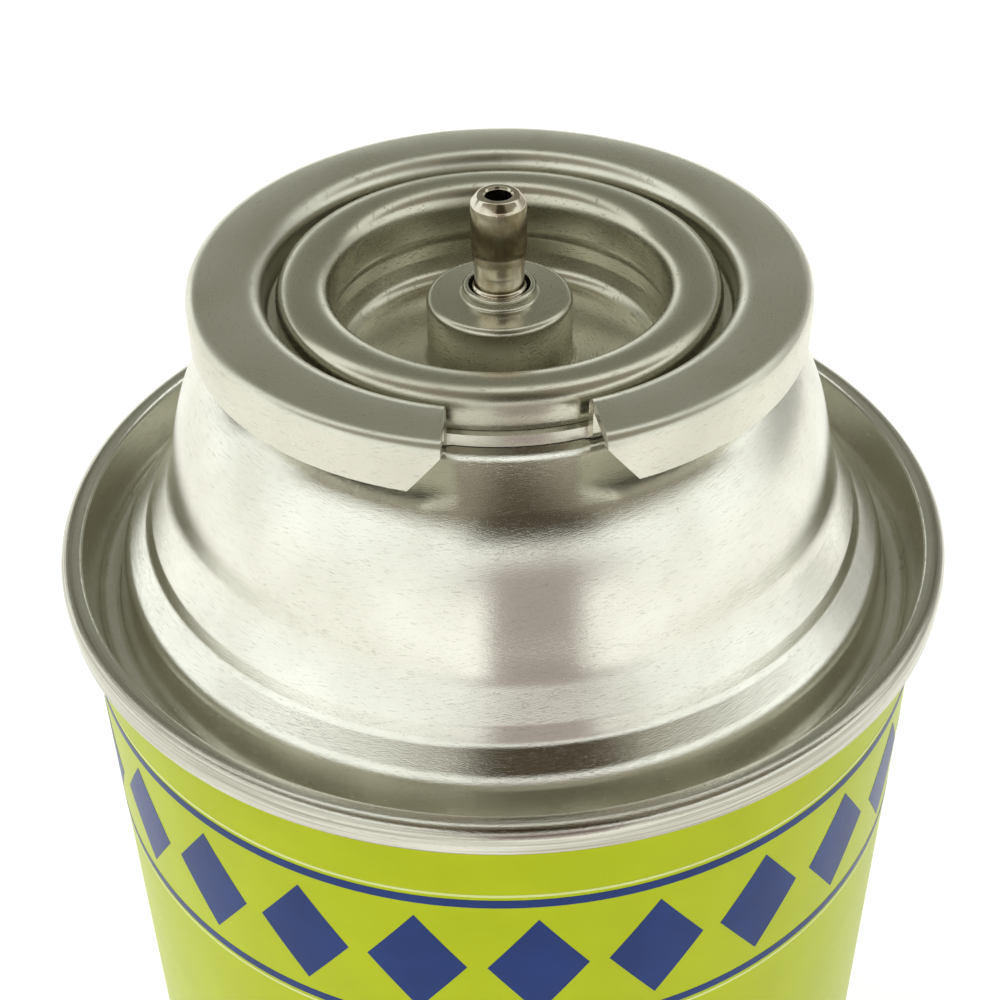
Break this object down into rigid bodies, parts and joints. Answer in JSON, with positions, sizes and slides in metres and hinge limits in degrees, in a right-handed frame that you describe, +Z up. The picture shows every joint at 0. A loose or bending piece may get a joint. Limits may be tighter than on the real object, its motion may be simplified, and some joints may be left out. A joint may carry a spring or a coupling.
{
  "type": "nozzle-type butane fuel cartridge",
  "caption": "Printed tinplate gas cartridge with a stepped dome, a notched locating collar and a spring-loaded valve stem.",
  "frame": {"origin": "centre of the ring that the can stands on, on the can's axis", "axes": "+Z up along the can's axis towards the valve stem, -Y towards the notch of the collar"},
  "size_m": [0.0688, 0.0688, 0.1894],
  "materials": {
    "lime_print": "gloss lacquer over printed tinplate",
    "navy_print": "gloss lacquer over printed tinplate",
    "pale_print": "gloss lacquer over printed tinplate",
    "dome_tinplate": "bright drawn tinplate with fine scratches",
    "cup_tinplate": "satin tinplate",
    "collar_tinplate": "satin tinplate",
    "stem_nickel": "polished nickel plate over brass",
    "spring_steel": "drawn stainless wire",
    "black_rubber": "moulded nitrile rubber",
    "white_acetal": "moulded acetal",
    "clear_polythene": "extruded natural polythene"
  },
  "bodies": {
    "vessel": {"sealed_can": "lime_print", "valve_cup": "cup_tinplate", "cup_gasket": "black_rubber", "notched_collar": "collar_tinplate", "stem_gasket": "black_rubber", "return_spring": "spring_steel", "valve_housing": "white_acetal", "vapour_tube": "clear_polythene"},
    "stem": {"valve_stem": "stem_nickel"}
  },
  "joints": [
    {"name": "stem_press", "type": "slide", "parent": "vessel", "child": "stem", "axis": [0, 0, -1], "range_m": [0, 0.0018], "stiffness_N_per_m": 2500, "deforming": ["return_spring"]}
  ]
}
